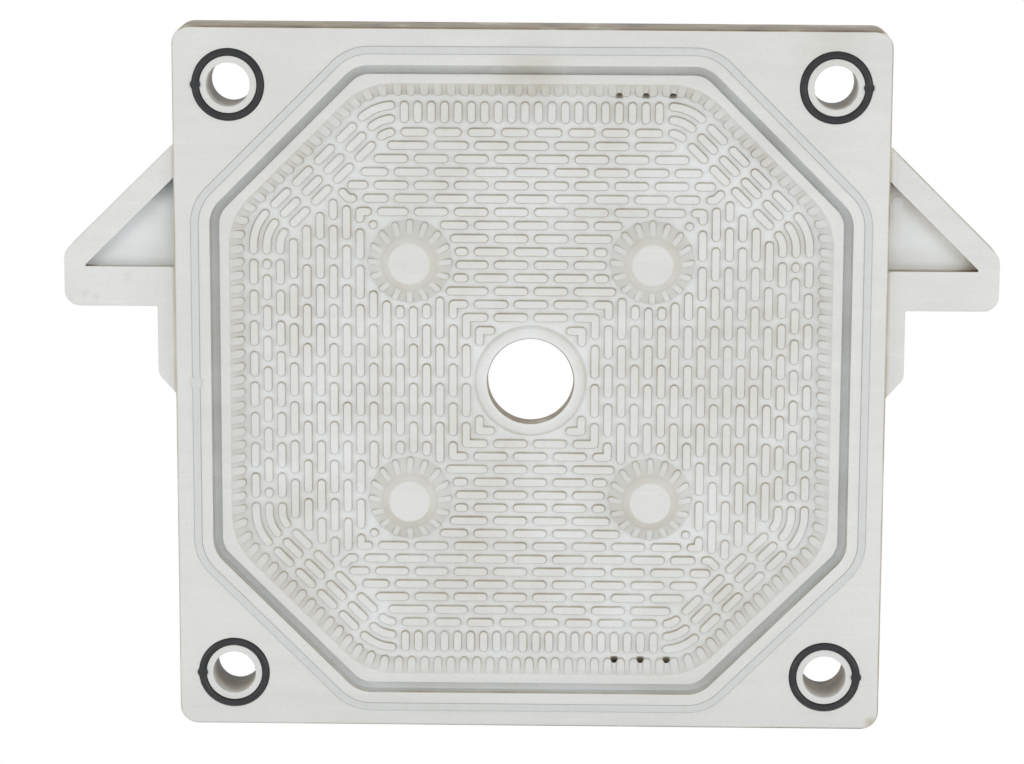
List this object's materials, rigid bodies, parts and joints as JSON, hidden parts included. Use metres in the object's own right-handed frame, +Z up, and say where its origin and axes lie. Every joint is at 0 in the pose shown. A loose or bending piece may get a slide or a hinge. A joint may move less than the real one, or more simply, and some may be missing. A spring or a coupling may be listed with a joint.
{
  "type": "filter press plate",
  "caption": "Square recessed chamber plate with side handles, corner ports with O-rings, a centre feed eye and a field of drainage pips.",
  "frame": {"origin": "middle of the feed eye, half way through the plate", "axes": "+X to the right seen from the front, +Z up, the face with the sealing strip looks towards -Y"},
  "size_m": [1.05, 0.0726, 0.8],
  "materials": {
    "polypropylene": "matt white polypropylene",
    "strip_rubber": "light grey rubber",
    "ring_rubber": "black rubber"
  },
  "bodies": {
    "root": {"chamber_plate": "polypropylene", "sealing_strip": "strip_rubber", "o_ring_upper_left": "ring_rubber", "o_ring_upper_right": "ring_rubber", "o_ring_lower_left": "ring_rubber", "o_ring_lower_right": "ring_rubber"}
  },
  "joints": []
}
